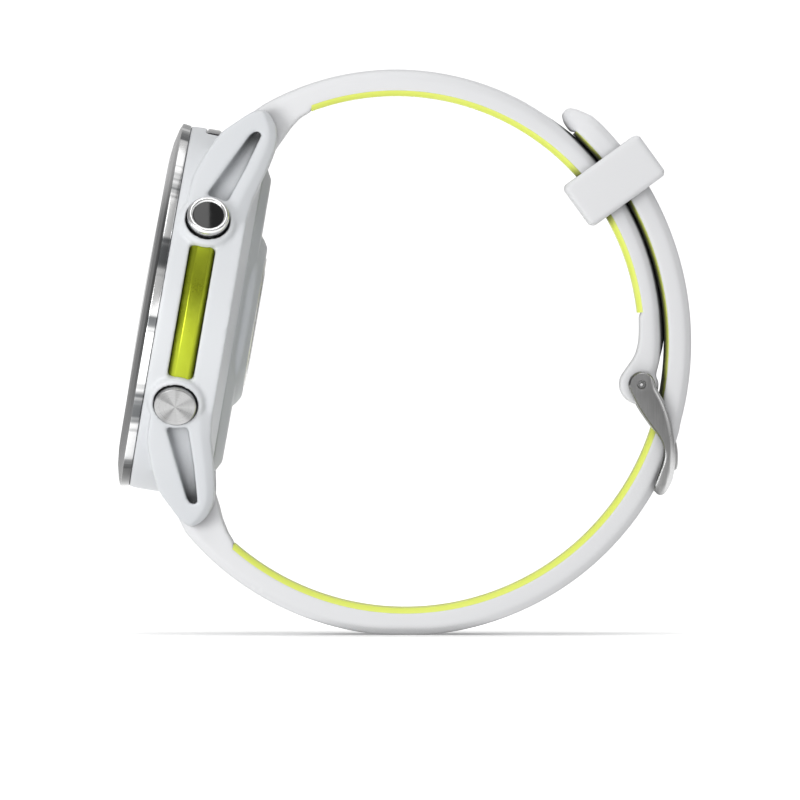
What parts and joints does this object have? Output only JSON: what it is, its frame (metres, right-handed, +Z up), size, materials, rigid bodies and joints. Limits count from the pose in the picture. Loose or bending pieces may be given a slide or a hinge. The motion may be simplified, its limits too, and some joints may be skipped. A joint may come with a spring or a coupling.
{
  "type": "gps running watch",
  "caption": "Round sports watch on a two-part silicone strap closed by a pin buckle, with a keeper loop, press buttons and quick-release spring bars.",
  "frame": {"origin": "bottom centre of the bounding box, under the strap's lowest point, with the buckled strap loop standing on its edge of largest radius", "axes": "+Z up, +Y from the 3 o'clock side to the 9 o'clock side, +X from the watch case to the buckle"},
  "size_m": [0.0735, 0.0482, 0.0722],
  "materials": {
    "case_polymer": "fine satin moulding texture",
    "cover_polymer": "satin",
    "titanium": "fine circular brushing with a polished edge",
    "brushed_metal": "brushed with bright edges",
    "polished_metal": "polished",
    "crystal_glass": "clear cover glass over a black screen",
    "black_glass": "gloss black",
    "black_plastic": "matt",
    "accent_yellow": "metallic lacquer",
    "silicone_white": "matt silicone",
    "silicone_yellow": "matt silicone",
    "seal_rubber": "matt",
    "circuit_board": "solder mask",
    "cell_foil": "satin foil",
    "gold_contact": "plated"
  },
  "bodies": {
    "case": {"main_case": "case_polymer", "bezel_ring": "titanium", "crystal": "crystal_glass", "display_module": "black_glass", "back_cover": "cover_polymer", "sensor_window": "black_glass", "contact_ring": "polished_metal", "sensor_board": "circuit_board", "back_gasket": "seal_rubber", "charging_contact_1": "gold_contact", "charging_contact_2": "gold_contact", "charging_contact_3": "gold_contact", "charging_contact_4": "gold_contact", "back_screw_1": "polished_metal", "back_screw_2": "polished_metal", "back_screw_3": "polished_metal", "back_screw_4": "polished_metal", "main_board": "circuit_board", "battery": "cell_foil", "vibration_motor": "brushed_metal", "speaker": "black_plastic", "gps_antenna": "gold_contact", "switch_flex_right": "gold_contact", "switch_flex_left": "gold_contact", "accent_panel": "accent_yellow", "flashlight_lens": "black_glass", "upper_right_spring": "polished_metal", "lower_right_spring": "polished_metal", "upper_left_spring": "polished_metal", "middle_left_spring": "polished_metal", "lower_left_spring": "polished_metal", "upper_right_seal": "seal_rubber", "lower_right_seal": "seal_rubber", "upper_left_seal": "seal_rubber", "middle_left_seal": "seal_rubber", "lower_left_seal": "seal_rubber"},
    "upper_right_button_body": {"upper_right_button": "polished_metal", "upper_right_clip": "brushed_metal", "upper_right_button_inset": "black_glass"},
    "lower_right_button_body": {"lower_right_button": "polished_metal", "lower_right_clip": "brushed_metal"},
    "upper_left_button_body": {"upper_left_button": "polished_metal", "upper_left_clip": "brushed_metal"},
    "middle_left_button_body": {"middle_left_button": "polished_metal", "middle_left_clip": "brushed_metal"},
    "lower_left_button_body": {"lower_left_button": "polished_metal", "lower_left_clip": "brushed_metal"},
    "long_strap_body": {"long_strap": "silicone_white", "long_strap_liner": "silicone_yellow", "lower_spring_bar": "brushed_metal"},
    "short_strap_body": {"short_strap": "silicone_white", "short_strap_liner": "silicone_yellow", "upper_spring_bar": "brushed_metal"},
    "keeper_body": {"strap_keeper": "silicone_white"},
    "buckle_body": {"buckle_frame": "brushed_metal", "buckle_pin": "brushed_metal"},
    "tongue_body": {"buckle_tongue": "brushed_metal"},
    "upper_lever_body": {"upper_release_lever": "brushed_metal"},
    "lower_lever_body": {"lower_release_lever": "brushed_metal"}
  },
  "joints": [
    {"name": "upper_right_press", "type": "slide", "parent": "case", "child": "upper_right_button_body", "axis": [-0.086, 0.866, -0.4926], "range_m": [0, 0.0005], "stiffness_N_per_m": 2000, "springref_m": -0.0005, "deforming": ["upper_right_spring"]},
    {"name": "lower_right_press", "type": "slide", "parent": "case", "child": "lower_right_button_body", "axis": [0.086, 0.866, 0.4926], "range_m": [0, 0.0005], "stiffness_N_per_m": 2000, "springref_m": -0.0005, "deforming": ["lower_right_spring"]},
    {"name": "upper_left_press", "type": "slide", "parent": "case", "child": "upper_left_button_body", "axis": [-0.086, -0.866, -0.4926], "range_m": [0, 0.0005], "stiffness_N_per_m": 2000, "springref_m": -0.0005, "deforming": ["upper_left_spring"]},
    {"name": "middle_left_press", "type": "slide", "parent": "case", "child": "middle_left_button_body", "axis": [0, -1, 0], "range_m": [0, 0.0005], "stiffness_N_per_m": 2000, "springref_m": -0.0005, "deforming": ["middle_left_spring"]},
    {"name": "lower_left_press", "type": "slide", "parent": "case", "child": "lower_left_button_body", "axis": [0.086, -0.866, 0.4926], "range_m": [0, 0.0005], "stiffness_N_per_m": 2000, "springref_m": -0.0005, "deforming": ["lower_left_spring"]},
    {"name": "long_strap_swing", "type": "hinge", "parent": "case", "child": "long_strap_body", "pos_m": [-0.02708, 0, 0.01697], "axis": [0, 1, 0], "range_deg": [0, 60], "deforming": ["long_strap", "long_strap_liner"]},
    {"name": "short_strap_swing", "type": "hinge", "parent": "case", "child": "short_strap_body", "pos_m": [-0.01882, 0, 0.06426], "axis": [0, 1, 0], "range_deg": [-45, 0]},
    {"name": "buckle_swing", "type": "hinge", "parent": "short_strap_body", "child": "buckle_body", "pos_m": [0.03034, 0, 0.03206], "axis": [0, 1, 0], "range_deg": [-60, 0]},
    {"name": "tongue_swing", "type": "hinge", "parent": "short_strap_body", "child": "tongue_body", "pos_m": [0.03034, 0, 0.03206], "axis": [0, 1, 0], "range_deg": [-75, 0]},
    {"name": "keeper_slide", "type": "hinge", "parent": "short_strap_body", "child": "keeper_body", "pos_m": [-0.00108, 0, 0.03793], "axis": [0, 1, 0], "range_deg": [-15, 20]},
    {"name": "upper_lever_slide", "type": "slide", "parent": "short_strap_body", "child": "upper_lever_body", "axis": [0, 1, 0], "range_m": [0, 0.002], "stiffness_N_per_m": 800, "springref_m": -0.001},
    {"name": "lower_lever_slide", "type": "slide", "parent": "long_strap_body", "child": "lower_lever_body", "axis": [0, 1, 0], "range_m": [0, 0.002], "stiffness_N_per_m": 800, "springref_m": -0.001}
  ],
  "couplings": [
    {"joint": "short_strap_swing", "follows": "long_strap_swing", "ratio": -0.75},
    {"joint": "buckle_swing", "follows": "long_strap_swing", "ratio": -1},
    {"joint": "tongue_swing", "follows": "long_strap_swing", "ratio": -1.25}
  ]
}
